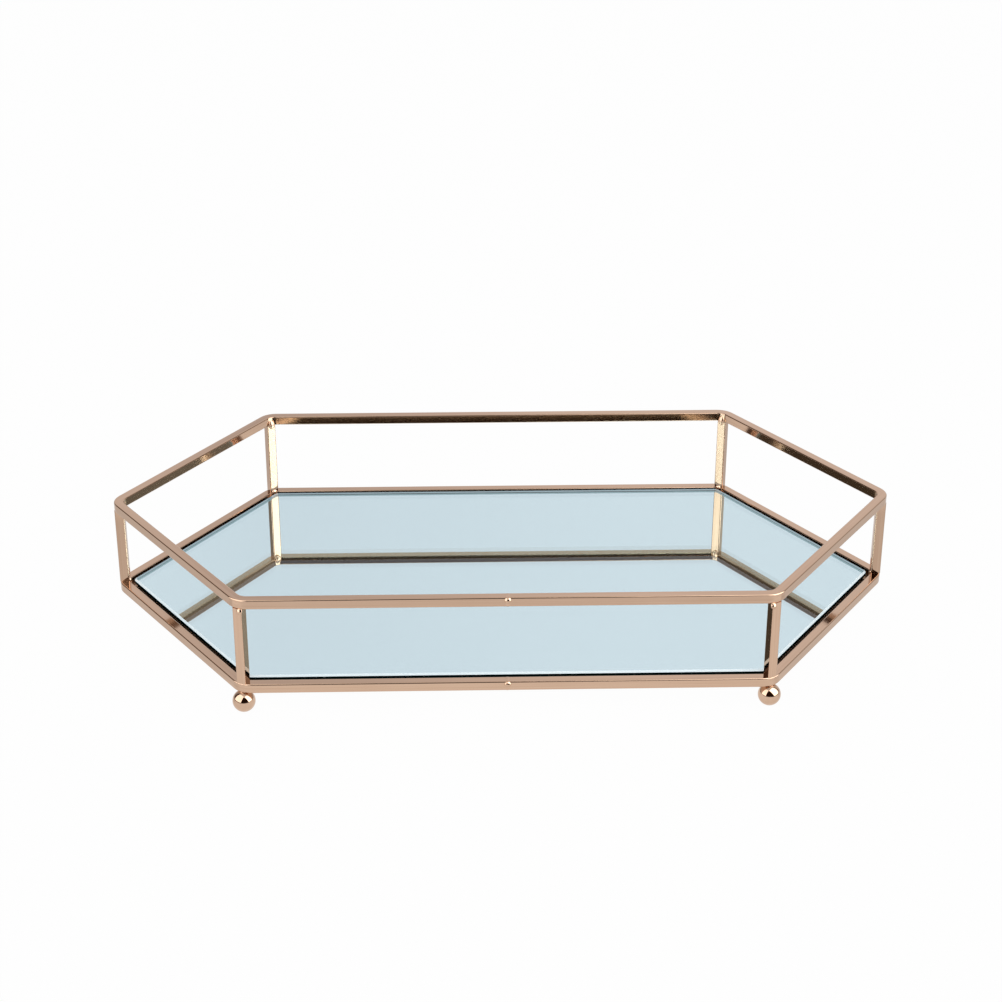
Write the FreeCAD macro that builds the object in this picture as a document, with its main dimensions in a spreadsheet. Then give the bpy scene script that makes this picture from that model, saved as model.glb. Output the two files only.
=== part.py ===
"""Hexagonal mirrored vanity tray: two bent square-wire rails, six posts, four ball feet and a mirror.

The origin is at the middle of the tray on the surface it stands on: X runs along the tray from tip
to tip, the front is -Y and +Z is up. All sizes are in millimetres.
"""
import FreeCAD, Part
import math
import os
import Sketcher

# ---------------------------------------------------------------------------------------------
# Driving sizes: each has one cell in the sheet, and every feature below is bound to these cells.
# ---------------------------------------------------------------------------------------------
SIZES = (
    # name, size, what it is
    ("tray_length", 360.0, "tip to tip over the wire, before the tips are rounded by the bends"),
    ("tray_width", 192.0, "front rail to rear rail over the wire"),
    ("long_side", 230.2, "front side over the wire, from bend to bend before rounding"),
    ("rail_height", 45.6, "underside of the lower rail to the top of the upper rail"),
    ("bend_radius", 7.0, "centre line of the wire round each bend"),
    ("wire_size", 4.4, "side of the square wire"),
    ("wire_edge", 0.6, "rounding along the edges of the wire"),
    ("butt_gap", 0.8, "root gap between the two ends of a bent rail"),
    ("bead_length", 2.0, "butt weld along the wire"),
    ("bead_proud", 0.25, "height of the butt weld over the wire"),
    ("tack_radius", 1.5, "ball of metal that a tack weld is part of"),
    ("tack_sink", 0.7, "depth of that ball's centre in the wire"),
    ("foot_diameter", 10.0, "steel ball foot"),
    ("foot_land", 0.5, "radius of the flat where the ball is fused to the rail"),
    ("foot_set_out", 0.4, "from the middle of the wire outwards to the middle of a ball"),
    ("foot_weld_radius", 1.8, "outside of the weld round that flat"),
    ("foot_weld_height", 0.45, "height of that weld"),
    ("glass_thickness", 3.0, "mirror glass"),
    ("glass_gap", 2.1, "gap between the wire and the edge of the glass"),
    ("glass_corner", 3.0, "rounding of the corners of the glass"),
    ("glass_arris", 0.8, "ground arris along the edges of the glass"),
    ("film_thickness", 0.2, "silvering with its backing paint"),
    ("ledge_width", 10.0, "support ledge from the wire inwards"),
    ("ledge_thickness", 1.2, "support ledge"),
    ("ledge_corner", 1.0, "rounding of the inner corners of the ledge"),
    ("ledge_opening", 6.0, "between the ends of the ledge, clear of the butt weld"),
    ("pad_spacing", 140.0, "between the two pads of a long side"),
    ("pad_width", 9.0, "adhesive foam pad along the rail"),
    ("pad_depth", 5.0, "adhesive foam pad across the ledge"),
    ("pad_setback", 0.8, "from the free edge of the ledge to the pad"),
    ("pad_thickness", 0.6, "adhesive foam pad, pressed"),
    ("pad_corner", 0.5, "rounding of the corners of a pad"),
)

os.makedirs("parts", exist_ok=True)
doc = FreeCAD.newDocument("VanityTray")
sheet = doc.addObject("Spreadsheet::Sheet", "Sizes")
for row, (name, size, meaning) in enumerate(SIZES, start=1):
    sheet.set(f"A{row}", name)
    sheet.set(f"B{row}", str(size))
    sheet.setAlias(f"B{row}", name)
    sheet.set(f"C{row}", meaning)
doc.recompute()

# ---------------------------------------------------------------------------------------------
# Worked-out sizes, as expressions on the sheet
# ---------------------------------------------------------------------------------------------
HALF_WIRE = "(Sizes.wire_size / 2)"
SLANT = "atan(Sizes.tray_width / (Sizes.tray_length - Sizes.long_side))"
FOOT_RADIUS = "(Sizes.foot_diameter / 2)"
FOOT_PLACE = "(Sizes.bend_radius + Sizes.foot_set_out)"
RAIL_BOTTOM = f"({FOOT_RADIUS} + sqrt({FOOT_RADIUS}^2 - Sizes.foot_land^2))"
LOWER_JOINT = f"({RAIL_BOTTOM} + Sizes.wire_size)"
UPPER_JOINT = f"({RAIL_BOTTOM} + Sizes.rail_height - Sizes.wire_size)"
PAD_BOTTOM = f"({RAIL_BOTTOM} + Sizes.ledge_thickness)"
FILM_BOTTOM = f"({PAD_BOTTOM} + Sizes.pad_thickness)"
GLASS_BOTTOM = f"({FILM_BOTTOM} + Sizes.film_thickness)"
BENDS = ("front_right", "right_tip", "rear_right", "rear_left", "left_tip", "front_left")


def value(expression):
    """The number that an expression on the sheet gives."""
    result = sheet.evalExpression(expression)
    return float(getattr(result, "Value", result))


def hexagon(inset):
    """Sharp corners of the tray's outline, moved inwards by inset: bend name to its x and y."""
    side_x = f"(Sizes.long_side / 2 - ({inset}) * tan({SLANT} / 2))"
    side_y = f"(Sizes.tray_width / 2 - ({inset}))"
    tip_x = f"(Sizes.tray_length / 2 - ({inset}) / sin({SLANT}))"
    return {
        "front_right": (side_x, f"-{side_y}"),
        "right_tip": (tip_x, "0"),
        "rear_right": (side_x, side_y),
        "rear_left": (f"-{side_x}", side_y),
        "left_tip": (f"-{tip_x}", "0"),
        "front_left": (f"-{side_x}", f"-{side_y}"),
    }


# The direction that each bend points in, as an angle from straight ahead (-Y) towards the right.
HEADING = {
    "front_right": f"({SLANT} / 2)",
    "right_tip": "(90 deg)",
    "rear_right": f"(180 deg - {SLANT} / 2)",
    "rear_left": f"(180 deg + {SLANT} / 2)",
    "left_tip": "(270 deg)",
    "front_left": f"(360 deg - {SLANT} / 2)",
}
BEND_CENTRES = hexagon(f"{HALF_WIRE} + Sizes.bend_radius")


def on_bend(bend, radius):
    """Place on a bend's bisector, at a distance from the bend's centre."""
    centre_x, centre_y = BEND_CENTRES[bend]
    heading = HEADING[bend]
    return f"{centre_x} + ({radius}) * sin({heading})", f"{centre_y} - ({radius}) * cos({heading})"


# ---------------------------------------------------------------------------------------------
# Helpers for the document's objects
# ---------------------------------------------------------------------------------------------
def bind(item, **sizes):
    """Binds properties of an object to expressions on the sheet."""
    for name, expression in sizes.items():
        item.setExpression(name, expression)


def place(item, x="0", y="0", z="0", turn="0"):
    """Binds an object's place, and its turn about the vertical in degrees."""
    for axis, expression in zip("xyz", (x, y, z)):
        item.setExpression(f".Placement.Base.{axis}", expression)
    item.setExpression(".Placement.Rotation.Angle", turn)


def new_body(name):
    body = doc.addObject("PartDesign::Body", name)
    body.Label = name
    return body


def new_sketch(body, name, plane):
    """A sketch on one of the body's own origin planes."""
    sketch = body.newObject("Sketcher::SketchObject", name)
    support = [item for item in body.Origin.OriginFeatures if item.Role == plane]
    sketch.AttachmentSupport = [(support[0], "")]
    sketch.MapMode = "FlatFace"
    return sketch


def hold(sketch, expression, kind, *ends):
    """Adds a dimension to a sketch and binds it to an expression on the sheet."""
    number = sketch.addConstraint(Sketcher.Constraint(kind, *ends, value(expression)))
    sketch.setExpression(f"Constraints[{number}]", expression)


def round_corner(sketch, centre, radius, start, end):
    """An arc about a bound centre with a bound radius, from one angle round to another."""
    x, y = centre
    middle = FreeCAD.Vector(value(x), value(y), 0)
    circle = Part.Circle(middle, FreeCAD.Vector(0, 0, 1), value(radius))
    arc = sketch.addGeometry(Part.ArcOfCircle(circle, start, end))
    hold(sketch, x, "DistanceX", -1, 1, arc, 3)
    hold(sketch, y, "DistanceY", -1, 1, arc, 3)
    hold(sketch, radius, "Radius", arc)
    return arc


def straight(sketch, first, last):
    return sketch.addGeometry(Part.LineSegment(first, last))


def join(sketch, first, last):
    """A straight line from the end of one arc to the start of the next, touching both."""
    line = straight(sketch, sketch.Geometry[first].EndPoint, sketch.Geometry[last].StartPoint)
    sketch.addConstraint(Sketcher.Constraint("Tangent", first, 2, line, 1))
    sketch.addConstraint(Sketcher.Constraint("Tangent", line, 2, last, 1))


def join_with_gap(sketch, first, last, gap):
    """Two lines along X that touch the arcs and leave a gap between them at the middle."""
    for arc, end, side in ((first, 2, "-"), (last, 1, "")):
        corner = sketch.getPoint(arc, end)
        edge = f"{side}({gap}) / 2"
        line = straight(sketch, corner, FreeCAD.Vector(value(edge), corner.y, 0))
        sketch.addConstraint(Sketcher.Constraint("Tangent", arc, end, line, 1))
        sketch.addConstraint(Sketcher.Constraint("Horizontal", line))
        hold(sketch, edge, "DistanceX", -1, 1, line, 2)


def rounded_loop(sketch, centres, radius, gap=None):
    """Arcs about the given centres, anticlockwise, joined by straight lines that touch them.

    A gap opens the line between the last centre and the first.
    """
    points = [FreeCAD.Vector(value(x), value(y), 0) for x, y in centres]
    ways = [point - before for before, point in zip(points[-1:] + points, points)]
    angles = [math.atan2(way.y, way.x) - math.pi / 2 for way in ways]
    arcs = []
    for centre, start, leaving in zip(centres, angles, angles[1:] + angles[:1]):
        end = start + (leaving - start) % (2 * math.pi)
        arcs.append(round_corner(sketch, centre, radius, start, end))
    for arc, following in zip(arcs, arcs[1:]):
        join(sketch, arc, following)
    if gap is None:
        join(sketch, arcs[-1], arcs[0])
    else:
        join_with_gap(sketch, arcs[-1], arcs[0], gap)


def rectangle(width, depth, radius, base="0"):
    """Centres of the corner arcs of a rounded rectangle that starts at y = base."""
    side = f"(({width}) / 2 - ({radius}))"
    low = f"(({base}) + ({radius}))"
    high = f"(({base}) + ({depth}) - ({radius}))"
    return [(side, low), (side, high), (f"-{side}", high), (f"-{side}", low)]


def square(side, radius):
    """Centres of the corner arcs of a rounded square about the sketch's origin."""
    return rectangle(side, side, radius, f"-({side}) / 2")


def plate(name, centres, radius, thickness):
    """A body of even thickness above its own XY plane, with rounded corners."""
    body = new_body(name)
    outline = new_sketch(body, f"{name}_outline", "XY_Plane")
    rounded_loop(outline, centres, radius)
    pad = body.newObject("PartDesign::Pad", f"{name}_pad")
    pad.Profile = outline
    bind(pad, Length=thickness)
    return body


def cut(name, base, tool):
    """What is left of base where it stands clear of tool."""
    result = doc.addObject("Part::Cut", name)
    result.Label = name
    result.Base = base
    result.Tool = tool
    return result


subparts = []

# ---------------------------------------------------------------------------------------------
# Rails: one square wire each, bent round six corners, with its two ends facing each other at the
# middle of the front, where a butt weld closes the ring
# ---------------------------------------------------------------------------------------------
FRONT_LINE = f"(Sizes.tray_width / 2 - {HALF_WIRE})"


def rail(name, height):
    """A rail whose centre line lies at the given height."""
    body = new_body(name)
    path = new_sketch(body, f"{name}_path", "XY_Plane")
    rounded_loop(path, [BEND_CENTRES[bend] for bend in BENDS], "Sizes.bend_radius", "Sizes.butt_gap")
    section = new_sketch(body, f"{name}_section", "YZ_Plane")
    rounded_loop(section, square("Sizes.wire_size", "Sizes.wire_edge"), "Sizes.wire_edge")
    section.setExpression(".AttachmentOffset.Base.x", f"-{FRONT_LINE}")
    section.setExpression(".AttachmentOffset.Base.z", "Sizes.butt_gap / 2")
    wire = body.newObject("PartDesign::AdditivePipe", f"{name}_wire")
    wire.Profile = section
    wire.Spine = path
    place(body, z=height)
    return body


def butt_weld(name, ring, height):
    """A collar of weld that fills the gap between the ends of a rail and stands a little proud."""
    collar = new_body(f"{name}_collar")
    proud = "Sizes.bead_proud"
    side = f"Sizes.wire_size + 2 * {proud}"
    outline = new_sketch(collar, f"{name}_outline", "YZ_Plane")
    edge = f"Sizes.wire_edge + {proud}"
    rounded_loop(outline, square(side, edge), edge)
    pad = collar.newObject("PartDesign::Pad", f"{name}_pad")
    pad.Profile = outline
    pad.Midplane = True
    bind(pad, Length="Sizes.bead_length")
    place(collar, y=f"-{FRONT_LINE}", z=height)
    return cut(name, collar, ring)


rails = {}
for level, joint, way in (("lower", LOWER_JOINT, "-"), ("upper", UPPER_JOINT, "+")):
    height = f"{joint} {way} {HALF_WIRE}"
    rails[level] = rail(f"{level}_rail", height)
    subparts.append(rails[level])
    subparts.append(butt_weld(f"{level}_rail_weld", rails[level], height))

# ---------------------------------------------------------------------------------------------
# Posts: short lengths of the same wire between the rails, square to each bend's bisector, with a
# tack weld inside each joint and one more outside at the top of the two front posts
# ---------------------------------------------------------------------------------------------
INNER_FACE = f"(Sizes.bend_radius - {HALF_WIRE})"
OUTER_FACE = f"(Sizes.bend_radius + {HALF_WIRE})"


def post(bend):
    body = plate(
        f"post_{bend}",
        square("Sizes.wire_size", "Sizes.wire_edge"),
        "Sizes.wire_edge",
        f"{UPPER_JOINT} - {LOWER_JOINT}",
    )
    x, y = on_bend(bend, "Sizes.bend_radius")
    place(body, x, y, LOWER_JOINT, HEADING[bend])
    return body


def tack(name, bend, radius, joint, ring, upright):
    """The part of a small ball of weld metal that stands out of a joint between post and rail."""
    ball = doc.addObject("Part::Sphere", f"{name}_ball")
    bind(ball, Radius="Sizes.tack_radius")
    x, y = on_bend(bend, radius)
    place(ball, x, y, joint)
    return cut(name, cut(f"{name}_on_rail", ball, ring), upright)


for bend in BENDS:
    upright = post(bend)
    subparts.append(upright)
    inside = f"{INNER_FACE} + Sizes.tack_sink"
    for level, joint in (("lower", LOWER_JOINT), ("upper", UPPER_JOINT)):
        name = f"tack_{level}_{bend}"
        subparts.append(tack(name, bend, inside, joint, rails[level], upright))
    if bend.startswith("front"):
        outside = f"{OUTER_FACE} - Sizes.tack_sink"
        name = f"tack_outer_{bend}"
        subparts.append(tack(name, bend, outside, UPPER_JOINT, rails["upper"], upright))

# ---------------------------------------------------------------------------------------------
# Feet: steel balls under the four bends of the long sides, each fused at a small flat and welded
# ---------------------------------------------------------------------------------------------


def foot(bend):
    """A ball turned about its own upright axis, from its lowest point to the flat on top."""
    body = new_body(f"foot_{bend}")
    half = new_sketch(body, f"foot_{bend}_half", "XZ_Plane")
    radius = value(FOOT_RADIUS)
    land = value("Sizes.foot_land")
    top = value(RAIL_BOTTOM)
    circle = Part.Circle(FreeCAD.Vector(0, radius, 0), FreeCAD.Vector(0, 0, 1), radius)
    rim = math.atan2(top - radius, land)
    arc = half.addGeometry(Part.ArcOfCircle(circle, -math.pi / 2, rim))
    flat = straight(half, FreeCAD.Vector(land, top, 0), FreeCAD.Vector(0, top, 0))
    axis = straight(half, FreeCAD.Vector(0, top, 0), FreeCAD.Vector(0, 0, 0))
    half.addConstraint(Sketcher.Constraint("Coincident", arc, 2, flat, 1))
    half.addConstraint(Sketcher.Constraint("Coincident", flat, 2, axis, 1))
    half.addConstraint(Sketcher.Constraint("Coincident", axis, 2, arc, 1))
    half.addConstraint(Sketcher.Constraint("Coincident", axis, 2, -1, 1))
    half.addConstraint(Sketcher.Constraint("Vertical", axis))
    half.addConstraint(Sketcher.Constraint("Horizontal", flat))
    half.addConstraint(Sketcher.Constraint("PointOnObject", arc, 3, -2))
    hold(half, FOOT_RADIUS, "Radius", arc)
    hold(half, "Sizes.foot_land", "DistanceX", -1, 1, flat, 1)
    ball = body.newObject("PartDesign::Revolution", f"foot_{bend}_ball")
    ball.Profile = half
    ball.ReferenceAxis = (half, ["V_Axis"])
    ball.Angle = 360
    x, y = on_bend(bend, FOOT_PLACE)
    place(body, x, y)
    return body


def foot_weld(bend, ball):
    """The ring of weld in the narrow space between a ball and the underside of the rail."""
    disc = doc.addObject("Part::Cylinder", f"foot_weld_{bend}_disc")
    bind(disc, Radius="Sizes.foot_weld_radius", Height="Sizes.foot_weld_height")
    x, y = on_bend(bend, FOOT_PLACE)
    place(disc, x, y, f"{RAIL_BOTTOM} - Sizes.foot_weld_height")
    return cut(f"foot_weld_{bend}", disc, ball)


for bend in BENDS:
    if bend.endswith("tip"):
        continue
    ball = foot(bend)
    subparts.append(ball)
    subparts.append(foot_weld(bend, ball))

# ---------------------------------------------------------------------------------------------
# Mirror: a sheet of glass with ground arrises, silvered and painted on its underside
# ---------------------------------------------------------------------------------------------
GLASS_EDGE = "Sizes.wire_size + Sizes.glass_gap"


def mirror_glass():
    """Pad of the outline, with an arris along the edges of both faces."""
    outline = f"{GLASS_EDGE} + Sizes.glass_corner"
    body = plate(
        "mirror_glass",
        [hexagon(outline)[bend] for bend in BENDS],
        "Sizes.glass_corner",
        "Sizes.glass_thickness",
    )
    doc.recompute()
    sheet_of_glass = body.Tip
    faces = [
        f"Face{number}"
        for number, face in enumerate(sheet_of_glass.Shape.Faces, start=1)
        if abs(face.normalAt(0, 0).z) > 0.5
    ]
    arris = body.newObject("PartDesign::Chamfer", "mirror_glass_arris")
    arris.Base = (sheet_of_glass, faces)
    bind(arris, Size="Sizes.glass_arris")
    place(body, z=GLASS_BOTTOM)
    return body


def mirror_silvering():
    """Film on the underside of the glass, as far out as the arris leaves it flat."""
    inset = f"{GLASS_EDGE} + Sizes.glass_corner"
    body = plate(
        "mirror_silvering",
        [hexagon(inset)[bend] for bend in BENDS],
        "Sizes.glass_corner - Sizes.glass_arris",
        "Sizes.film_thickness",
    )
    place(body, z=FILM_BOTTOM)
    return body


subparts.append(mirror_glass())
subparts.append(mirror_silvering())

# ---------------------------------------------------------------------------------------------
# Support ledge: a flat strip welded all round the inside of the lower rail, open at the middle of
# the front where the butt weld of the rail stands proud
# ---------------------------------------------------------------------------------------------
INNER_CORNERS = hexagon("Sizes.wire_size")
RIGHT_X, REAR_Y = INNER_CORNERS["rear_right"]
TIP_X = INNER_CORNERS["right_tip"][0]


def support_ledge():
    """Ring between the wire and the ledge's own inner outline, less an opening at the front."""
    ring = new_body("support_ledge_ring")
    outline = new_sketch(ring, "support_ledge_outline", "XY_Plane")
    rounded_loop(outline, [BEND_CENTRES[bend] for bend in BENDS], INNER_FACE)
    inner = hexagon("Sizes.wire_size + Sizes.ledge_width + Sizes.ledge_corner")
    rounded_loop(outline, [inner[bend] for bend in BENDS], "Sizes.ledge_corner")
    pad = ring.newObject("PartDesign::Pad", "support_ledge_pad")
    pad.Profile = outline
    bind(pad, Length="Sizes.ledge_thickness")
    place(ring, z=RAIL_BOTTOM)
    beyond = "Sizes.ledge_opening"
    opening = plate(
        "support_ledge_opening",
        rectangle(beyond, f"Sizes.ledge_width + 2 * {beyond}", "Sizes.ledge_corner", f"-{beyond}"),
        "Sizes.ledge_corner",
        "Sizes.ledge_thickness",
    )
    place(opening, y=f"-{REAR_Y}", z=RAIL_BOTTOM)
    return cut("support_ledge", ring, opening)


subparts.append(support_ledge())

# ---------------------------------------------------------------------------------------------
# Adhesive foam pads that hold the mirror on the ledge: two on each long side and one on each
# slanted side
# ---------------------------------------------------------------------------------------------
SIDE_X = "Sizes.pad_spacing / 2"
SLANT_X = f"({RIGHT_X} + {TIP_X}) / 2"
SLANT_Y = f"{REAR_Y} / 2"
# name of the seat, x and y where it meets the wire, and the turn from pointing rearwards
PAD_SEATS = (
    ("front_left", f"-{SIDE_X}", f"-{REAR_Y}", "0 deg"),
    ("front_right", SIDE_X, f"-{REAR_Y}", "0 deg"),
    ("slant_front_right", SLANT_X, f"-{SLANT_Y}", SLANT),
    ("slant_rear_right", SLANT_X, SLANT_Y, f"180 deg - {SLANT}"),
    ("rear_right", SIDE_X, REAR_Y, "180 deg"),
    ("rear_left", f"-{SIDE_X}", REAR_Y, "180 deg"),
    ("slant_rear_left", f"-{SLANT_X}", SLANT_Y, f"180 deg + {SLANT}"),
    ("slant_front_left", f"-{SLANT_X}", f"-{SLANT_Y}", f"360 deg - {SLANT}"),
)

for seat, x, y, turn in PAD_SEATS:
    pad_start = "Sizes.ledge_width - Sizes.pad_setback - Sizes.pad_depth"
    foam = plate(
        f"foam_pad_{seat}",
        rectangle("Sizes.pad_width", "Sizes.pad_depth", "Sizes.pad_corner", pad_start),
        "Sizes.pad_corner",
        "Sizes.pad_thickness",
    )
    place(foam, x, y, PAD_BOTTOM, turn)
    subparts.append(foam)

# ---------------------------------------------------------------------------------------------
# Checks, then one file for each sub-part
# ---------------------------------------------------------------------------------------------
doc.recompute()
for item in doc.Objects:
    if "Invalid" in item.State or "Error" in item.State:
        raise RuntimeError(f"{item.Name} did not compute: {item.State}")
for subpart in subparts:
    shape = subpart.Shape
    if shape.isNull() or not shape.isValid():
        raise RuntimeError(f"{subpart.Label} has no valid shape")
    if len(shape.Solids) != 1:
        raise RuntimeError(f"{subpart.Label} is {len(shape.Solids)} solids")
for subpart in subparts:
    subpart.Shape.exportStep(f"parts/{subpart.Label}.step")
    box = subpart.Shape.BoundBox
    print(f"{subpart.Label}: {subpart.Shape.Volume:.2f} mm3, z {box.ZMin:.2f} to {box.ZMax:.2f}")

whole = Part.makeCompound([subpart.Shape for subpart in subparts]).BoundBox
print(f"{len(subparts)} sub-parts, {whole.XLength:.2f} x {whole.YLength:.2f} x {whole.ZLength:.2f} mm")
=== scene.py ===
# %% [markdown]
# # A mirrored vanity tray in rose gold
#
# The real tray is bent up from square steel wire: two long hexagons, one above the other, joined by
# six posts and standing on four steel balls. After welding, the whole frame is polished and plated,
# and a sheet of mirror glass is laid on a narrow ledge inside the lower ring.
#
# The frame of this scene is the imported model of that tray. Its wires, glass and balls are already
# the right shape, so most of the work here is finishes: plated wire with faint lines, polished
# balls, clear glass over silver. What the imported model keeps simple, the small lumps of weld, is
# modelled again.

# %% Load the frame
import math

import bmesh
import bpy
from mathutils import Matrix, Vector, noise


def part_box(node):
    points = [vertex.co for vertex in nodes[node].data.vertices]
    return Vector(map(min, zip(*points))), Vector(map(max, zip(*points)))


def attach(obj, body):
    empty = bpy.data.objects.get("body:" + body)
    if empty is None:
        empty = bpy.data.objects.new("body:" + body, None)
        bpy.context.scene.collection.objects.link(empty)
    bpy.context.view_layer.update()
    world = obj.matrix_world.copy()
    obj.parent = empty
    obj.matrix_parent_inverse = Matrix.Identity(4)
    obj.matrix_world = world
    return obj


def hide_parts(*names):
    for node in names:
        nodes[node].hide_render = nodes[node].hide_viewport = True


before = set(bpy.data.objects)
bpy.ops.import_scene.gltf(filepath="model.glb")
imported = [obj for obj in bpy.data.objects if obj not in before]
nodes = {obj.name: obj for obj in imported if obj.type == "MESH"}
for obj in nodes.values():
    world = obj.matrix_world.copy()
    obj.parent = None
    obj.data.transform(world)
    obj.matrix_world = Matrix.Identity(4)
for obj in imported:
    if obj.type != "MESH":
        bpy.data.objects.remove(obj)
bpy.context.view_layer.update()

# %% [markdown]
# ## Where the camera stands
#
# A catalogue picture of a tray is taken from a step back with a long lens, so that the far side is
# hardly smaller than the near one. The camera looks down just enough to show the mirror. Its place
# is given from the middle of the tray at the height of the lower rail, which is the lowest wire,
# and the three turns are made one after the other: round the upright, down, and a touch of tilt.

# %% The camera
CAMERA_PLACE = Vector((-0.0248, -0.8918, 0.4883))
CAMERA_TURN = math.radians(1.566)
CAMERA_DOWN = math.radians(26.509)
CAMERA_TILT = math.radians(0.122)
CAMERA_LENS = 77.63
rail_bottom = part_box("lower_rail")[0].z

lens = bpy.data.cameras.new("camera")
lens.lens = CAMERA_LENS
camera = bpy.data.objects.new("camera", lens)
camera.location = CAMERA_PLACE + Vector((0, 0, rail_bottom))
aim = Matrix.Rotation(-CAMERA_TURN, 3, "Z") @ Matrix.Rotation(math.pi / 2 - CAMERA_DOWN, 3, "X")
aim = aim @ Matrix.Rotation(CAMERA_TILT, 3, "Z")
camera.rotation_euler = aim.to_euler()
bpy.context.scene.collection.objects.link(camera)
bpy.context.scene.camera = camera
bpy.context.scene.view_settings.view_transform = "Standard"
print(f"camera {camera.location.length:.3f} m from the middle of the tray")

# %% [markdown]
# ## Writing shaders as sums
#
# A finish is mostly arithmetic on a few patterns: a little more brightness here, a rougher patch
# there. Wrapping a socket in a small class with the usual operators lets that be written as plain
# expressions, and each operator adds one Math node.

# %% A number that varies over a surface


class Field:
    """A number or colour that varies over a surface: one output socket of a node."""

    def __init__(self, finish, socket):
        self.finish = finish
        self.socket = socket

    def math(self, operation, *terms):
        return self.finish.node("ShaderNodeMath", {"operation": operation}, dict(enumerate(terms)))

    def __add__(self, other):
        return self.math("ADD", self, other)

    def __sub__(self, other):
        return self.math("SUBTRACT", self, other)

    def __rsub__(self, other):
        return self.math("SUBTRACT", other, self)

    def __mul__(self, other):
        return self.math("MULTIPLY", self, other)

    def __gt__(self, other):
        return self.math("GREATER_THAN", self, other)

    def __lt__(self, other):
        return self.math("LESS_THAN", self, other)

    __radd__ = __add__
    __rmul__ = __mul__


print("ready to add, multiply and compare")

# %% [markdown]
# ## One way to add any node
#
# Every node of every finish here comes from one method. It takes the type of node, its settings and
# the values or links for its sockets, so that a material reads from top to bottom like a recipe.

# %% A finish being made


class Finish:
    """A material or world being made. Every node in it comes from node()."""

    def __init__(self, owner):
        owner.use_nodes = True
        self.owner = owner
        self.tree = owner.node_tree
        self.tree.nodes.clear()

    def node(self, kind, settings, inputs, output=0):
        """Adds a node: its settings first, then values or links for its sockets."""
        made = self.tree.nodes.new(kind)
        for name, setting in settings.items():
            if name == "stops":
                self.set_stops(made.color_ramp, setting)
            else:
                setattr(made, name, setting)
        for name, item in inputs.items():
            if isinstance(item, Field):
                self.tree.links.new(item.socket, made.inputs[name])
            else:
                made.inputs[name].default_value = item
        return Field(self, made.outputs[output])

    def set_stops(self, ramp, stops):
        while len(ramp.elements) < len(stops):
            ramp.elements.new(1.0)
        for element, (place, light) in zip(ramp.elements, stops):
            element.position = place
            element.color = light

    def coordinate(self, output="Object"):
        return self.node("ShaderNodeTexCoord", {}, {}, output)

    def axes(self, vector):
        """The three parts of a vector."""
        kind = "ShaderNodeSeparateXYZ"
        return [self.node(kind, {}, {"Vector": vector}, axis) for axis in range(3)]

    def vector(self, x, y, z):
        return self.node("ShaderNodeCombineXYZ", {}, {"X": x, "Y": y, "Z": z})

    def pattern(self, scale, detail, stretch=(1, 1, 1)):
        """Noise from 0 to 1 on object coordinates; stretch lengthens it along an axis."""
        squeeze = tuple(1 / amount for amount in stretch)
        place = self.node("ShaderNodeMapping", {}, {"Vector": self.coordinate(), "Scale": squeeze})
        return self.node(
            "ShaderNodeTexNoise", {}, {"Vector": place, "Scale": scale, "Detail": detail}
        )

    def mix(self, factor, first, second):
        """Blends two colours, which are sockets 6 and 7 of the node."""
        sockets = {0: factor, 6: first, 7: second}
        return self.node("ShaderNodeMix", {"data_type": "RGBA"}, sockets, 2)

    def number_mix(self, factor, first, second):
        """Blends two numbers, which are sockets 2 and 3 of the node."""
        sockets = {0: factor, 2: first, 3: second}
        return self.node("ShaderNodeMix", {"data_type": "FLOAT"}, sockets, 0)

    def shader_mix(self, factor, first, second):
        """Blends two shaders."""
        return self.node("ShaderNodeMixShader", {}, {0: factor, 1: first, 2: second})

    def bump(self, height, depth, distance):
        sockets = {"Height": height, "Strength": depth, "Distance": distance}
        return self.node("ShaderNodeBump", {}, sockets)

    def upright(self):
        """How far the side that is looked at faces up: 1, or down: -1."""
        normal = self.node("ShaderNodeNewGeometry", {}, {}, "Normal")
        return self.node("ShaderNodeSeparateXYZ", {}, {"Vector": normal}, 2)

    def ray(self, name):
        """What kind of ray is looking at the surface."""
        return self.node("ShaderNodeLightPath", {}, {}, name)

    def principled(self, **sockets):
        names = {name.replace("_", " "): item for name, item in sockets.items()}
        return self.node("ShaderNodeBsdfPrincipled", {}, names)

    def output(self, shader, kind="ShaderNodeOutputMaterial"):
        last = self.tree.nodes.new(kind)
        self.tree.links.new(shader.socket, last.inputs["Surface"])
        return self.owner


def new_finish(name):
    return Finish(bpy.data.materials.new(name))


def colour(red, green, blue):
    """A colour as a designer writes it, from 0 to 255, as the light a shader works with."""
    parts = [shade / 255 for shade in (red, green, blue)]
    light = [p / 12.92 if p < 0.04045 else ((p + 0.055) / 1.055) ** 2.4 for p in parts]
    return (*light, 1.0)


print("ready to write finishes")

# %% [markdown]
# ## The outline of the tray
#
# Several steps need the outline of the rails. It is a long hexagon: two long sides, and four slanted
# ones that meet at the tips. Three sizes give it, and the slant follows from them.

# %% The outline
TRAY_LENGTH = 0.360
TRAY_WIDTH = 0.192
LONG_SIDE = 0.2302
HALF_WIRE = 0.0022
SLANT = math.atan2(TRAY_WIDTH, TRAY_LENGTH - LONG_SIDE)
print(f"the slanted sides turn by {math.degrees(SLANT):.1f} degrees")

# %% [markdown]
# ## Rose gold plate
#
# The colour of rose gold plate is the colour of its reflections, because a metal has none of its
# own. The wire was drawn through a die and polished on a wheel, and both leave faint lines along it.
# So its lines are a noise of three coordinates, of which two run quickly across the wire and one
# slowly along it: for a post the slow one is the height, and for a rail the distance from the
# outline and the height are the quick ones. The balls come ready polished and have no lines, and
# the welds keep the slightly rippled skin that they froze with.

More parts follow.
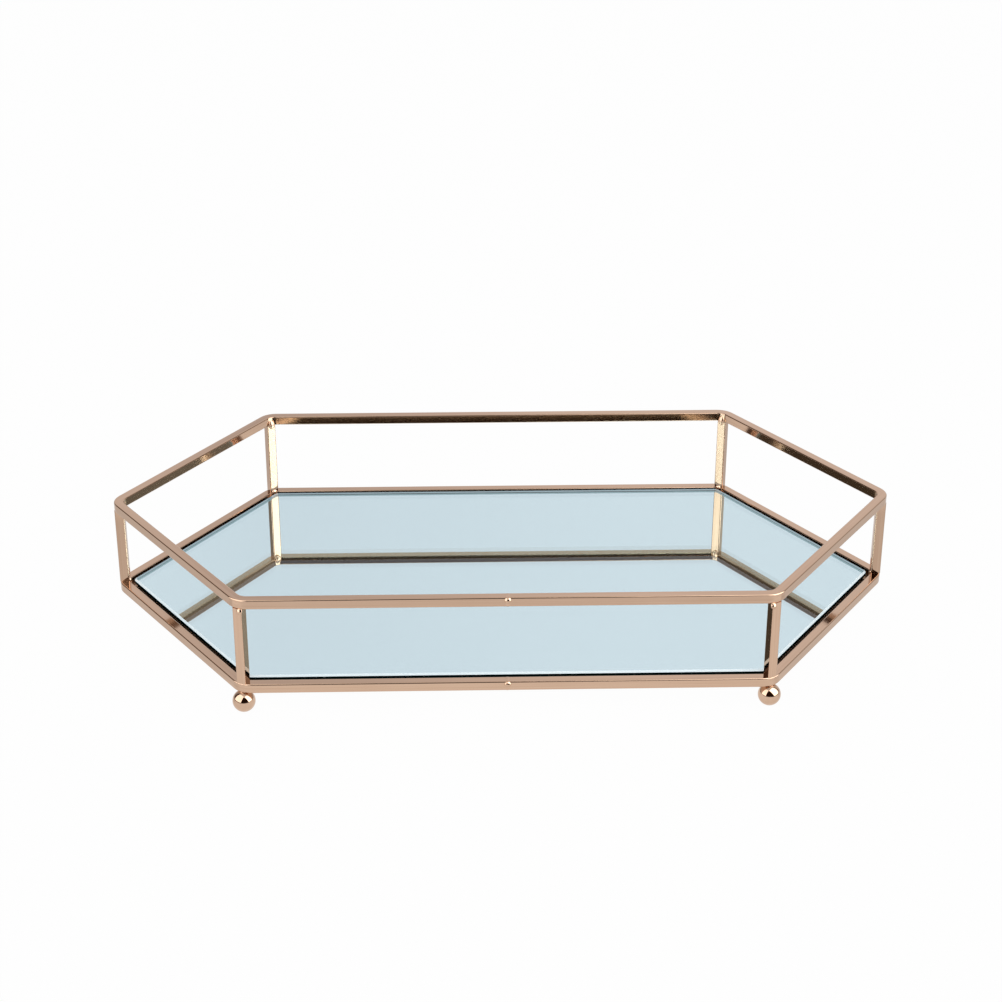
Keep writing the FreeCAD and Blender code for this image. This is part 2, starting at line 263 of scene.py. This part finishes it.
# %% Plated finishes
ROSE = colour(213, 182, 158)
ROSE_DEEP = colour(197, 164, 139)
LINES = 1400
LINE_LENGTH = 14
LINE_DETAIL = 2.0
CLOUDS = (45, 3)
SPECKS = (420, 2)
NOISE_MIDDLE = 0.5
CLOUD_TINT = 0.4
MARK_TINT = 1.2
TINT_SHIFT = 0.3
CLOUD_HEIGHT = 2
SKIN_DEPTH = 0.0001
WIRE = {"spread": 0.02, "ripple": 0.003}


def lines_along_posts(finish):
    x, y, z = finish.axes(finish.coordinate())
    return finish.vector(x * LINES, y * LINES, z * LINE_LENGTH)


def lines_along_rails(finish):
    """Quick across the rail, measured from the nearest side of the outline, and slow along it."""
    x, y, z = finish.axes(finish.coordinate())
    aside = x.math("ABSOLUTE", x)
    ahead_or_back = y.math("ABSOLUTE", y)
    long_side = ahead_or_back - TRAY_WIDTH / 2
    slanted = (aside - TRAY_LENGTH / 2) * math.sin(SLANT) + ahead_or_back * math.cos(SLANT)
    inset = long_side.math("MAXIMUM", long_side, slanted)
    return finish.vector(inset * LINES, z * LINES, x * LINE_LENGTH)


def plate_finish(name, gloss, spread, ripple, lines=None):
    """Rose gold with an uneven gloss: rougher patches, cloudy colour, and lines or a ripple."""
    finish = new_finish(name)
    clouds = finish.pattern(*CLOUDS)
    if lines is None:
        marks = finish.pattern(*SPECKS)
    else:
        place = {"Vector": lines(finish), "Scale": 1.0, "Detail": LINE_DETAIL}
        marks = finish.node("ShaderNodeTexNoise", {}, place)
    tint = clouds * CLOUD_TINT + marks * MARK_TINT - TINT_SHIFT
    plating = finish.mix(tint, ROSE_DEEP, ROSE)
    roughness = gloss + (clouds - NOISE_MIDDLE) * spread + (marks - NOISE_MIDDLE) * spread
    skin = finish.bump(marks + clouds * CLOUD_HEIGHT, ripple, SKIN_DEPTH)
    shader = finish.principled(
        Base_Color=plating,
        Metallic=1.0,
        Roughness=roughness,
        Normal=skin,
    )
    return finish.output(shader)


rail_finish = plate_finish("rail_rose_plate", gloss=0.07, lines=lines_along_rails, **WIRE)
post_finish = plate_finish("post_rose_plate", gloss=0.06, lines=lines_along_posts, **WIRE)
ball_finish = plate_finish("bright_rose_plate", gloss=0.06, spread=0.03, ripple=0.01)
weld_finish = plate_finish("weld_rose_plate", gloss=0.05, spread=0.02, ripple=0.02)
ledge_finish = plate_finish("ledge_rose_plate", gloss=0.32, spread=0.1, ripple=0.1)
print(f"rose gold reflects {ROSE[0]:.2f} of red light and {ROSE[2]:.2f} of blue")

# %% [markdown]
# ## Dressing the wires, the balls and the ledge
#
# The rails, posts, balls and ledge of the frame keep their own shapes, which are true to size down
# to the rounding along the edges of the wire. They only get their finish, by the first words of
# their names.

# %% Dress the pieces of the frame


def dress(material, *names):
    """Gives a finish to pieces of the frame whose names start with one of these words."""
    dressed = [name for name in nodes if name.startswith(names)]
    for name in dressed:
        mesh = nodes[name].data
        mesh.materials.clear()
        mesh.materials.append(material)
    print(f"{material.name}: {len(dressed)} pieces")


dress(rail_finish, "upper_rail", "lower_rail")
dress(post_finish, "post_")
dress(ball_finish, "foot_")
dress(weld_finish, "foot_weld_", "tack_")
dress(ledge_finish, "support_ledge")

# %% [markdown]
# ## Adding pieces of our own
#
# A new piece starts as a bmesh, Blender's editable mesh. Once it has its shape, it becomes an object
# that rides on the tray and stands for the simpler piece of the frame in the same place.

# %% From a shape to a piece


def finished(shape, name, material, slot, *replaced):
    """Turns a bmesh into a smooth piece of the tray that stands for some pieces of the frame."""
    bmesh.ops.recalc_face_normals(shape, faces=shape.faces)
    for face in shape.faces:
        face.smooth = True
    mesh = bpy.data.meshes.new(name)
    shape.to_mesh(mesh)
    shape.free()
    mesh.materials.append(material)
    piece = bpy.data.objects.new(name, mesh)
    bpy.context.scene.collection.objects.link(piece)
    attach(piece, "root")
    if replaced:
        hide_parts(*replaced)
    return piece


def middle(name):
    """The middle of a piece of the frame."""
    low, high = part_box(name)
    return (low + high) / 2


print("the tray's middle is at", [round(value, 4) for value in middle("mirror_glass")])

# %% [markdown]
# ## Lumps of weld at the joints
#
# Each post is held to each rail by a small puddle of weld on its inner side, and the two front posts
# have one more on the outer side, just under the upper rail. A puddle freezes as a smooth lump with a
# few weak lobes. A ball of triangles gives that shape well: noise pushes its points in and out for
# the lobes, and the ball is then pulled to its length, leant back and half sunk in the wire.

# %% The shape of one lump
LUMP_DETAIL = 5
LOBE_SIZE = 1.3
LOBE_HEIGHT = 0.12


def add_lump(shape, place, heading, size, seed, lean=0.0):
    """Adds a lump that faces a heading, leaning back; size is half its width, depth, height."""
    made = bmesh.ops.create_icosphere(shape, subdivisions=LUMP_DETAIL, radius=1.0)["verts"]
    for point in made:
        way = point.co.copy()
        lobes = noise.noise(way * LOBE_SIZE + Vector((seed, 0, 0)))
        point.co = way * (1 + LOBE_HEIGHT * lobes)
    bmesh.ops.scale(shape, vec=size, verts=made)
    turn = Matrix.Rotation(heading, 3, "Z") @ Matrix.Rotation(-lean, 3, "X")
    bmesh.ops.rotate(shape, cent=(0, 0, 0), matrix=turn, verts=made)
    bmesh.ops.translate(shape, vec=place, verts=made)


print(f"a lump has {20 * 4 ** (LUMP_DETAIL - 1)} triangles")

# %% [markdown]
# ## Where the joints are
#
# The posts stand in the bends of the rails. Each bend points outwards along its bisector, and that
# heading is half the slant, or follows from it. It is an angle from straight ahead towards the
# right, so that a lump turned by it faces outwards.

# %% Headings of the bends
BEND_HEADING = {
    "front_right": SLANT / 2,
    "right_tip": math.pi / 2,
    "rear_right": math.pi - SLANT / 2,
    "rear_left": math.pi + SLANT / 2,
    "left_tip": 3 * math.pi / 2,
    "front_left": 2 * math.pi - SLANT / 2,
}


def ahead(heading):
    """One step along a heading."""
    return Vector((math.sin(heading), -math.cos(heading), 0))


print({bend: round(math.degrees(heading), 1) for bend, heading in BEND_HEADING.items()})

# %% Welds inside and outside the joints
UPPER_LUMP = (0.0017, 0.0014, 0.0028)
LOWER_LUMP = (0.0014, 0.0009, 0.0012)
OUTER_LUMP = (0.0014, 0.0010, 0.0015)
UPPER_RISE = 0.0010
OUTER_DROP = 0.0010
OUTER_ASIDE = {"front_left": 0.0014, "front_right": -0.0020}
LEAN = math.radians(20)
SINK = 0.0002
LOWER_SEED = 20
OUTER_SEED = 40


def joint_weld(place_word, bend, heading, height, size, seed, aside=0.0):
    """A weld at one joint, on the side of the post that the heading points to."""
    post = middle(f"post_{bend}")
    surface = post + ahead(heading) * (HALF_WIRE - SINK) + ahead(heading + math.pi / 2) * aside
    shape = bmesh.new()
    add_lump(shape, Vector((surface.x, surface.y, height)), heading, size, seed, LEAN)
    return finished(
        shape,
        f"weld_{place_word}_{bend}",
        weld_finish,
        "weld_metal",
        f"tack_{place_word}_{bend}",
    )


for count, (bend, heading) in enumerate(BEND_HEADING.items()):
    low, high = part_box(f"post_{bend}")
    inwards = heading + math.pi
    joint_weld("upper", bend, inwards, high.z + UPPER_RISE, UPPER_LUMP, count)
    joint_weld("lower", bend, inwards, low.z + SINK, LOWER_LUMP, count + LOWER_SEED)
    if bend in OUTER_ASIDE:
        height = high.z - OUTER_DROP
        seed = count + OUTER_SEED
        joint_weld("outer", bend, heading, height, OUTER_LUMP, seed, OUTER_ASIDE[bend])
print(f"{2 * len(BEND_HEADING) + len(OUTER_ASIDE)} lumps of weld at the joints")

# %% [markdown]
# ## Butt welds in the rails
#
# Each rail is one length of wire bent round until its ends meet in the middle of the front. The weld
# that closes it stands a quarter of a millimetre proud, because plating hides a file mark less well
# than a smooth bead. It is a band of rings round the wire: each ring is a square with very round
# corners, the rings swell towards the middle, and bridges between neighbours make the skin. The
# last drop of the weld froze just under the front edge of the wire, as one more lump.

# %% Butt welds
RING_POINTS = 48
RING_SQUARENESS = 7
BEAD_RINGS = 17
BEAD_UNDER = 0.00008
BEAD_RIPPLE = 0.00012
RIPPLE_SIZE = 2
RING_SEED = 0.6
BEAD_NUB = (0.0015, 0.0010, 0.0014)
NUB_LEAN = math.radians(30)
NUB_RISE = 0.00105
NUB_SINK = 0.0003
NUB_SEED = 100


def bead_ring(shape, centre, half_size, seed):
    """A loop of edges round the wire, square with round corners and a little uneven."""
    points = []
    for count in range(RING_POINTS):
        angle = 2 * math.pi * count / RING_POINTS
        across = math.cos(angle)
        upwards = math.sin(angle)
        power = abs(across) ** RING_SQUARENESS + abs(upwards) ** RING_SQUARENESS
        spot = Vector((seed, across * RIPPLE_SIZE, upwards * RIPPLE_SIZE))
        ripple = BEAD_RIPPLE * noise.noise(spot)
        reach = (half_size + ripple) / power ** (1 / RING_SQUARENESS)
        points.append(shape.verts.new(centre + Vector((0, across, upwards)) * reach))
    return [shape.edges.new((points[i - 1], points[i])) for i in range(RING_POINTS)]


def butt_weld(rail):
    low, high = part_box(f"{rail}_weld")
    centre = (low + high) / 2
    proud = (high.z - low.z) / 2 - HALF_WIRE - BEAD_RIPPLE
    shape = bmesh.new()
    rings = []
    for count in range(BEAD_RINGS):
        along = 2 * count / (BEAD_RINGS - 1) - 1
        swell = proud * (1 - along * along) - BEAD_UNDER * along * along
        place = Vector((centre.x + along * (high.x - low.x) / 2, centre.y, centre.z))
        rings.append(bead_ring(shape, place, HALF_WIRE + swell, count * RING_SEED))
    for first, second in zip(rings, rings[1:]):
        bmesh.ops.bridge_loops(shape, edges=first + second)
    bmesh.ops.holes_fill(shape, edges=rings[0] + rings[-1])
    nub = centre + ahead(0) * (HALF_WIRE - NUB_SINK) + Vector((0, 0, NUB_RISE))
    add_lump(shape, nub, 0, BEAD_NUB, high.z * NUB_SEED, NUB_LEAN)
    return finished(shape, f"butt_{rail}", weld_finish, "weld_metal", f"{rail}_weld")


for rail in ("upper_rail", "lower_rail"):
    bead = butt_weld(rail)
    front = min(point.co.y for point in bead.data.vertices)
    print(f"{bead.name}: {len(bead.data.polygons)} faces, front at {front:.5f} m")

# %% [markdown]
# ## Welds over the balls
#
# A ball touches the flat underside of the rail in one spot, and the weld fills the narrow space round
# it. Its outer side is hollow, as melted metal draws itself into a corner. That is a small profile
# spun about the upright through the ball, with its outer points waved a little.

# %% Ball welds
FOOT_WELD_PROFILE = (
    # outwards from the ball's axis and down from the rail, in metres
    (0.0004, -0.00005),
    (0.0018, -0.00005),
    (0.0016, 0.00008),
    (0.00155, 0.00017),
    (0.0016, 0.00026),
    (0.0018, 0.0004),
    (0.0004, 0.0004),
)
FOOT_WELD_STEPS = 64
FOOT_WELD_WAVE = 0.08
WAVE_SIZE = 2
WAVE_SHIFT = 50
MERGE_DISTANCE = 1e-7


def foot_weld(corner):
    place = middle(f"foot_{corner}")
    shape = bmesh.new()
    points = [
        shape.verts.new((place.x + out, place.y, rail_bottom - down))
        for out, down in FOOT_WELD_PROFILE
    ]
    outline = [shape.edges.new((points[i - 1], points[i])) for i in range(len(points))]
    bmesh.ops.spin(
        shape,
        geom=points + outline,
        cent=place,
        axis=(0, 0, 1),
        angle=2 * math.pi,
        steps=FOOT_WELD_STEPS,
        use_merge=True,
    )
    bmesh.ops.remove_doubles(shape, verts=shape.verts, dist=MERGE_DISTANCE)
    for point in shape.verts:
        spoke = Vector((point.co.x - place.x, point.co.y - place.y, 0))
        spot = spoke.normalized() * WAVE_SIZE + place * WAVE_SHIFT
        wave = 1 + FOOT_WELD_WAVE * noise.noise(spot)
        point.co += spoke * (wave - 1)
    return finished(
        shape, f"ball_weld_{corner}", weld_finish, "weld_metal", f"foot_weld_{corner}"
    )


CORNERS = ("front_left", "front_right", "rear_left", "rear_right")
for corner in CORNERS:
    ball_weld = foot_weld(corner)
print(f"{len(CORNERS)} ball welds of {len(ball_weld.data.polygons)} faces each")

# %% [markdown]
# ## Welds along the ledge
#
# The ledge that carries the glass is a flat strip, bent to the outline and held to the inner side of
# the rail by short runs of weld underneath, two beside each foam pad. They only show from below. All
# sixteen are lumps of the same kind as at the joints, but small and long, and together they make one
# piece, which lies in the groove between the rounded edge of the wire and the strip.

# %% Ledge welds
PAD_HEADING = {
    "front_left": 0.0,
    "front_right": 0.0,
    "slant_front_right": SLANT,
    "slant_rear_right": math.pi - SLANT,
    "rear_right": math.pi,
    "rear_left": math.pi,
    "slant_rear_left": math.pi + SLANT,
    "slant_front_left": 2 * math.pi - SLANT,
}
PAD_TO_WIRE = 0.0067
BESIDE_PAD = 0.020
LEDGE_LUMP = (0.0040, 0.0009, 0.0005)
LEDGE_RISE = 0.0002
SECOND_SEED = 10


def ledge_welds():
    shape = bmesh.new()
    for count, (pad, heading) in enumerate(PAD_HEADING.items()):
        seam = middle(f"foam_pad_{pad}") + ahead(heading) * PAD_TO_WIRE
        seam.z = rail_bottom + LEDGE_RISE
        beside = ahead(heading + math.pi / 2) * BESIDE_PAD
        add_lump(shape, seam + beside, heading, LEDGE_LUMP, count)
        add_lump(shape, seam - beside, heading, LEDGE_LUMP, count + SECOND_SEED)
    return finished(shape, "ledge_welds", weld_finish, "weld_metal")


print(f"ledge welds: {len(ledge_welds().data.polygons)} triangles")

# %% [markdown]
# ## Mirror glass
#
# A mirror is a sheet of clear glass with silver on its far side. What one sees is the silver through
# three millimetres of glass, once on the way in and once on the way out. The ground edge is painted
# almost black and has no sheen: painted shade, for the light that is lost inside the sheet. The
# narrow arris, ground at half a right angle between the face and the edge, is frosted and has a
# painted glow, a constant emission for the light that leaves the sheet there, so it shows as a white
# line. The three are told apart by how level the surface is. The lower arris is painted as dark as
# the edge from outside, painted shade for the dark over the ledge. From inside the sheet both arrises
# are black with a stronger painted glow, and the lower one shows through the face as a paler line
# along the far sides.

# %% Glass
LEVEL_FACE = 0.9
ARRIS_FACE = 0.4
# Painted glow of the arris, a constant emission though the glass is no lamp: seen from outside the
# sheet, then from inside it.
PAINTED_GLOW_OUT = (0.16, 0.25, 0.30, 1.0)
PAINTED_GLOW_IN = (0.27, 0.38, 0.43, 1.0)
BLACK = (0.0, 0.0, 0.0, 1.0)
GLASS_IOR = 1.52
SMEARS = (30, 4)
SMEAR_GLOSS = 0.02
GRINDING = (900, 2)
FROSTED_GLOSS = 0.35
EDGE_GLOSS = 0.8
YES = 0.5


def glass_finish():
    finish = new_finish("mirror_glass")
    facing_up = finish.upright()
    level = facing_up.math("ABSOLUTE", facing_up)
    inside = finish.node("ShaderNodeNewGeometry", {}, {}, "Backfacing")
    smears = finish.pattern(*SMEARS)
    grinding = finish.pattern(*GRINDING)
    clear = finish.principled(
        Base_Color=colour(248, 254, 254),
        Roughness=smears * SMEAR_GLOSS,
        IOR=GLASS_IOR,
        Transmission_Weight=1.0,
    )
    ground = finish.mix(grinding, colour(240, 248, 248), colour(252, 255, 255))
    # The arris: near-white ground glass with a painted glow. Seen from inside the sheet its colour is
    # black and only the painted glow is left.
    frosted_with_painted_glow = finish.principled(
        Base_Color=finish.mix(inside, ground, BLACK),
        Roughness=FROSTED_GLOSS,
        IOR=GLASS_IOR,
        Emission_Color=finish.mix(inside, PAINTED_GLOW_OUT, PAINTED_GLOW_IN),
        Emission_Strength=1.0,
    )
    # The ground edge: painted shade, almost black and without sheen.
    painted_dark_edge = finish.principled(
        Base_Color=finish.mix(grinding, colour(0, 12, 13), colour(6, 30, 30)),
        Roughness=EDGE_GLOSS,
        Specular_IOR_Level=0.0,
    )
    # The arrises that get the painted glow: the upper one from outside, both from inside the sheet.
    # The lower arris seen from outside gets the painted shade of the edge.
    painted_lit_arris = (level > ARRIS_FACE) * ((facing_up > 0) + inside > YES)
    edge = finish.shader_mix(painted_lit_arris, painted_dark_edge, frosted_with_painted_glow)
    return finish.output(finish.shader_mix(level > LEVEL_FACE, edge, clear))


dress(glass_finish(), "mirror_glass")

# %% [markdown]
# ## Silver and its backing
#
# Under the glass lies a film of silver, and over its back a coat of grey paint. The film of the frame
# touches the glass, and two surfaces in exactly the same place confuse a renderer. So the film is
# made again from a copy, with its upper face lifted a few hundredths of a millimetre into the glass,
# where the light meets the silver while it is still inside the sheet.

# %% Silver
SILVER = (0.79, 0.905, 0.89, 1.0)
SILVER_CLOUD = (0.775, 0.89, 0.875, 1.0)
SILVER_CLOUDS = (12, 3)
SILVER_GLOSS = 0.01
PAINT_STROKES = (160, 3, (6, 1, 1))
PAINT_GLOSS = 0.5
FILM_BOND = 0.00003


def silver_finish():
    """Silver on top, grey backing paint underneath and along the edge."""
    finish = new_finish("silvering")
    top = finish.upright() > YES
    clouds = finish.pattern(*SILVER_CLOUDS)
    strokes = finish.pattern(*PAINT_STROKES)
    paint = finish.mix(strokes, colour(110, 114, 118), colour(126, 130, 133))
    silver = finish.mix(clouds, SILVER_CLOUD, SILVER)
    shader = finish.principled(
        Base_Color=finish.mix(top, paint, silver),
        Metallic=top,
        Roughness=(1 - top) * PAINT_GLOSS + SILVER_GLOSS,
    )
    return finish.output(shader)


def silver_film():
    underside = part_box("mirror_silvering")[0].z
    shape = bmesh.new()
    shape.from_mesh(nodes["mirror_silvering"].data)
    bmesh.ops.remove_doubles(shape, verts=shape.verts, dist=MERGE_DISTANCE)
    top = [point for point in shape.verts if point.co.z > underside + FILM_BOND]
    bmesh.ops.translate(shape, verts=top, vec=(0, 0, FILM_BOND))
    film = finished(shape, "silver_film", silver_finish(), "silvering", "mirror_silvering")
    for face in film.data.polygons:
        face.use_smooth = False
    return film


print(f"silver film: {len(silver_film().data.polygons)} faces")

# %% [markdown]
# ## Foam pads
#
# Between the ledge and the painted back of the mirror are eight pads of pressed adhesive foam. They
# are pale, matt and full of small cells, and they show only from below, behind the ledge.

# %% Foam
CELLS = (1500, 3)
CELL_BUMP = 0.5
CELL_DEPTH = 0.0002
FOAM_GLOSS = 0.9


def foam_finish():
    finish = new_finish("foam")
    cells = finish.pattern(*CELLS)
    shader = finish.principled(
        Base_Color=finish.mix(cells, colour(208, 206, 198), colour(235, 233, 228)),
        Roughness=FOAM_GLOSS,
        Normal=finish.bump(cells, CELL_BUMP, CELL_DEPTH),
    )
    return finish.output(shader)


dress(foam_finish(), "foam_pad_")

# %% [markdown]
# ## The floor
#
# The tray stands on a large sheet of white paper. Paper under soft light is a pale grey, so rays that
# look at it, directly or in the metal, see most of it as a plain white glow. The share that is left
# to the paper keeps the soft shadow under the tray. For the metal, the glow is painted dimmer away
# from the tray, to both sides, to the front and behind it: painted shade for where the lamps don't
# reach it as well.

# %% Floor
FLOOR_SIZE = 6.0
FLOOR_GLOW = 0.98
PAPER = (0.86, 0.86, 0.86, 1.0)
WHITE = (1.0, 1.0, 1.0, 1.0)
NEAR_SIDES = (0.115, 0.15, 0.80)
FAR_SIDES = (0.18, 0.24, 0.93)
FRONT_CORNERS = (0.09, 0.11, 0.0)
FAR_FRONT = (0.16, 0.20, 0.86)
BEHIND = (0.095, 0.12, 0.85)


def fading(finish, distance, near, far, level):
    """1 up to the near distance, then a smooth way to the given level at the far one."""
    sockets = {"Value": distance, "From Min": near, "From Max": far, "To Min": 1.0}
    settings = {"interpolation_type": "SMOOTHSTEP"}
    return finish.node("ShaderNodeMapRange", settings, {**sockets, "To Max": level})


def floor():
    shape = bmesh.new()
    bmesh.ops.create_grid(shape, x_segments=1, y_segments=1, size=FLOOR_SIZE / 2)
    mesh = bpy.data.meshes.new("floor")
    shape.to_mesh(mesh)
    shape.free()
    finish = new_finish("floor")
    seen = finish.ray("Is Camera Ray") + finish.ray("Is Glossy Ray")
    seen = seen + finish.ray("Is Transmission Ray")
    place = finish.coordinate()
    x, y, _ = finish.axes(place)
    aside = x.math("ABSOLUTE", x)
    # Painted shade on the paper's glow, seen only in the metal: dimmer to the sides, the front and
    # behind.
    sides = fading(finish, aside, *NEAR_SIDES) * fading(finish, aside, *FAR_SIDES)
    sides = finish.number_mix(fading(finish, 0 - y, *FRONT_CORNERS), 1.0, sides)
    ends = fading(finish, 0 - y, *FAR_FRONT) * fading(finish, y, *BEHIND)
    strength = finish.number_mix(finish.ray("Is Glossy Ray"), 1.0, sides * ends)
    paper = finish.node("ShaderNodeBsdfDiffuse", {}, {"Color": PAPER})
    glow = finish.node("ShaderNodeEmission", {}, {"Color": WHITE, "Strength": strength})
    mesh.materials.append(finish.output(finish.shader_mix(seen * FLOOR_GLOW, paper, glow)))
    piece = bpy.data.objects.new("floor", mesh)
    bpy.context.scene.collection.objects.link(piece)


floor()
print(f"a floor of {FLOOR_SIZE} m")

# %% [markdown]
# ## The studio that the metal sees
#
# Metal is lit by what it reflects, so a studio for it is arranged like a stage: a pale sweep behind,
# a large softbox on each side that leans in over the table, and a dark room in front, round the
# camera. The sweep and the dark room go into the world, by direction. A mirror that shows a softbox
# to the viewer would look like a fault, so rays that come straight out of the glass see the sweep.

# %% World
SWEEP = (0.80, 0.81, 0.90, 1.0)
BAND = (
    # turns round from the back over the left, the front and the right, then the light there
    (0.000, (0.78, 0.77, 0.79)),
    (0.015, (0.66, 0.65, 0.67)),
    (0.032, (0.92, 0.90, 0.91)),
    (0.100, (0.60, 0.58, 0.58)),
    (0.170, (0.12, 0.09, 0.075)),
    (0.230, (0.08, 0.055, 0.04)),
    (0.380, (0.022, 0.010, 0.006)),
    (0.640, (0.022, 0.010, 0.006)),
    (0.740, (0.10, 0.07, 0.055)),
    (0.800, (0.30, 0.27, 0.25)),
    (0.850, (0.70, 0.69, 0.69)),
    (0.920, (0.84, 0.83, 0.84)),
    (0.985, (0.90, 0.89, 0.91)),
    (1.000, (0.78, 0.77, 0.79)),
)
CEILING = 0.8
CEILING_FROM = 0.80
CEILING_TO = 0.92
DAYLIGHT = 0.45
ONE_REFLECTION = 1.5


def grey(level):
    return (level, level, level, 1.0)


def out_of_the_glass(finish):
    """1 for a ray that the viewer sees straight in the mirror."""
    first = finish.ray("Glossy Depth") < ONE_REFLECTION
    return finish.ray("Is Transmission Ray") * first


def studio_world():
    """White for the camera, a soft light on what is lit, and the room for metal and glass."""
    world = bpy.data.worlds.new("studio")
    world.cycles.sampling_method = "NONE"
    bpy.context.scene.world = world
    finish = Finish(world)
    way = finish.coordinate("Generated")
    x, y, z = finish.axes(way)
    # the angle runs from minus half a turn to half a turn, and the band from 0 to 1
    turn = x.math("ARCTAN2", x, 0 - y) * (0.5 / math.pi) + 0.5
    stops = [(place, (*light, 1.0)) for place, light in BAND]
    band = finish.node("ShaderNodeValToRGB", {"stops": stops}, {"Fac": turn})
    ceiling = finish.node(
        "ShaderNodeMapRange",
        {"interpolation_type": "SMOOTHSTEP"},
        {"Value": z, "From Min": CEILING_FROM, "From Max": CEILING_TO},
    )
    room = finish.mix(ceiling, band, grey(CEILING))
    seen_in_metal = finish.mix(out_of_the_glass(finish), room, SWEEP)
    plain = finish.mix(finish.ray("Is Camera Ray"), grey(DAYLIGHT), WHITE)
    mirrored = finish.ray("Is Glossy Ray") + finish.ray("Is Transmission Ray")
    light = finish.mix(mirrored, plain, seen_in_metal)
    shader = finish.node("ShaderNodeBackground", {}, {"Color": light, "Strength": 1.0})
    finish.output(shader, "ShaderNodeOutputWorld")


studio_world()
print(f"a band of {len(BAND)} steps round the tray")

# %% [markdown]
# ## Softboxes
#
# The two softboxes are panels with four corners each, which glow for metal and glass alone. Because
# they stand at a real place, each ball and each wire sees them from its own side, and that is what
# makes a bar look solid. The light that falls on paper and paint comes from two plain area lamps in
# the same directions.

# %% Panels
LEFT_GLOW = 2.2
RIGHT_GLOW = 3.4
LEFT_PANEL = (
    (-0.404, -0.667, 0.06),
    (-0.085, -0.443, 0.76),
    (-0.58, 0.04, 0.80),
    (-0.90, 0.04, 0.06),
)
RIGHT_PANEL = (
    (0.645, -0.686, 0.06),
    (0.02, -0.50, 0.80),
    (0.55, 0.05, 0.86),
    (1.00, 0.05, 0.06),
)


def panel(name, corners, brightness):
    shape = bmesh.new()
    shape.faces.new([shape.verts.new(corner) for corner in corners])
    mesh = bpy.data.meshes.new(name)
    shape.to_mesh(mesh)
    shape.free()
    finish = new_finish(name)
    mirrored = out_of_the_glass(finish)
    strength = (1 - mirrored) * brightness
    glow = finish.node("ShaderNodeEmission", {}, {"Color": WHITE, "Strength": strength})
    clear = finish.node("ShaderNodeBsdfTransparent", {}, {"Color": WHITE})
    mesh.materials.append(finish.output(finish.shader_mix(mirrored, glow, clear)))
    piece = bpy.data.objects.new(name, mesh)
    bpy.context.scene.collection.objects.link(piece)
    piece.visible_camera = False
    piece.visible_diffuse = False
    piece.visible_shadow = False


panel("left_panel", LEFT_PANEL, LEFT_GLOW)
panel("right_panel", RIGHT_PANEL, RIGHT_GLOW)
print(f"two softboxes with glows of {LEFT_GLOW} and {RIGHT_GLOW}")

# %% Lamps
LAMP_DISTANCE = 1.4
LAMP_SIZE = 1.2
LAMP_RADIANCE = 0.8
LAMP_SIDE = math.radians(62)
LAMP_HEIGHT = math.radians(40)


def lamp(name, side):
    light = bpy.data.lights.new(name, "AREA")
    light.shape = "SQUARE"
    light.size = LAMP_SIZE
    light.energy = LAMP_RADIANCE * math.pi * LAMP_SIZE * LAMP_SIZE
    piece = bpy.data.objects.new(name, light)
    way = ahead(side) * math.cos(LAMP_HEIGHT) + Vector((0, 0, math.sin(LAMP_HEIGHT)))
    piece.location = way * LAMP_DISTANCE
    piece.rotation_euler = way.to_track_quat("Z", "Y").to_euler()
    piece.visible_glossy = False
    piece.visible_transmission = False
    bpy.context.scene.collection.objects.link(piece)


lamp("left_lamp", -LAMP_SIDE)
lamp("right_lamp", LAMP_SIDE)
print(f"two lamps of {LAMP_SIZE} m at {LAMP_DISTANCE} m")
